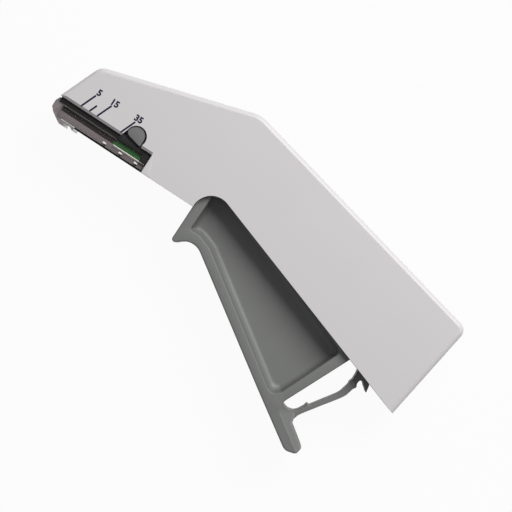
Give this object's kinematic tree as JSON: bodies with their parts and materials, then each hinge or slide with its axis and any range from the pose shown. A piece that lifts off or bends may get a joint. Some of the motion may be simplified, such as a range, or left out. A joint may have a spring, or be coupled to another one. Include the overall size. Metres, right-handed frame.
{
  "type": "skin stapler",
  "caption": "Disposable hand-held skin stapler: angled two-shell housing, squeeze trigger with spring arm, clear staple cartridge at the nose, drive lever and sliding former inside.",
  "frame": {"origin": "On the trigger's pivot axis, in the outer face of the right shell, on which the stapler lies", "axes": "+X along the staple track towards the rear, so the nose points to -X; +Y up as the stapler is held; +Z from the right side face to the left side face"},
  "size_m": [0.1446, 0.0817, 0.02],
  "materials": {
    "housing": "fine satin moulded ABS",
    "trigger": "satin moulded plastic, mid grey",
    "inner_plastic": "black acetal",
    "pusher": "green acetal",
    "clear_plastic": "clear moulded polycarbonate",
    "steel": "stainless",
    "staple_steel": "round stainless wire",
    "dark_steel": "dark stainless sheet"
  },
  "bodies": {
    "housing": {"housing_right": "housing", "housing_left": "housing", "trigger_pivot_pin": "steel", "lever_pivot_pin": "steel", "anvil_rail": "steel", "ejector_spring": "steel", "base_plate": "dark_steel", "cartridge_cover": "clear_plastic", "cartridge_carrier": "trigger", "staple_hold_down": "steel", "staples": "staple_steel", "spring_guide_rod": "steel", "feed_spring": "steel"},
    "trigger": {"trigger": "trigger"},
    "spring_arm": {"trigger_spring_arm": "trigger"},
    "drive_lever": {"drive_lever": "steel"},
    "former": {"former_carrier": "inner_plastic", "former_blade": "steel", "former_rivets": "steel"},
    "pusher": {"pusher": "pusher"}
  },
  "joints": [
    {"name": "trigger_squeeze", "type": "hinge", "parent": "housing", "child": "trigger", "pos_m": [0, 0, 0.01], "axis": [0, 0, 1], "range_deg": [0, 18], "stiffness_Nm_per_rad": 0.5},
    {"name": "spring_arm_flex", "type": "hinge", "parent": "trigger", "child": "spring_arm", "pos_m": [0.0675, -0.048, 0.01], "axis": [0, 0, 1], "range_deg": [-13.6, 0]},
    {"name": "drive_lever_swing", "type": "hinge", "parent": "housing", "child": "drive_lever", "pos_m": [0.032, 0.012, 0.01], "axis": [0, 0, 1], "range_deg": [0, 2.9]},
    {"name": "former_slide", "type": "slide", "parent": "housing", "child": "former", "axis": [-0.3762, -0.9265, 0], "range_m": [0, 0.00382]},
    {"name": "staple_feed", "type": "slide", "parent": "housing", "child": "pusher", "axis": [-1, 0, 0], "range_m": [0, 0.0198], "deforming": ["staples", "feed_spring"]}
  ],
  "couplings": [
    {"joint": "spring_arm_flex", "follows": "trigger_squeeze", "ratio": -0.75},
    {"joint": "drive_lever_swing", "follows": "trigger_squeeze", "ratio": 0.16},
    {"joint": "former_slide", "follows": "trigger_squeeze", "m_per_rad": 0.0121}
  ]
}
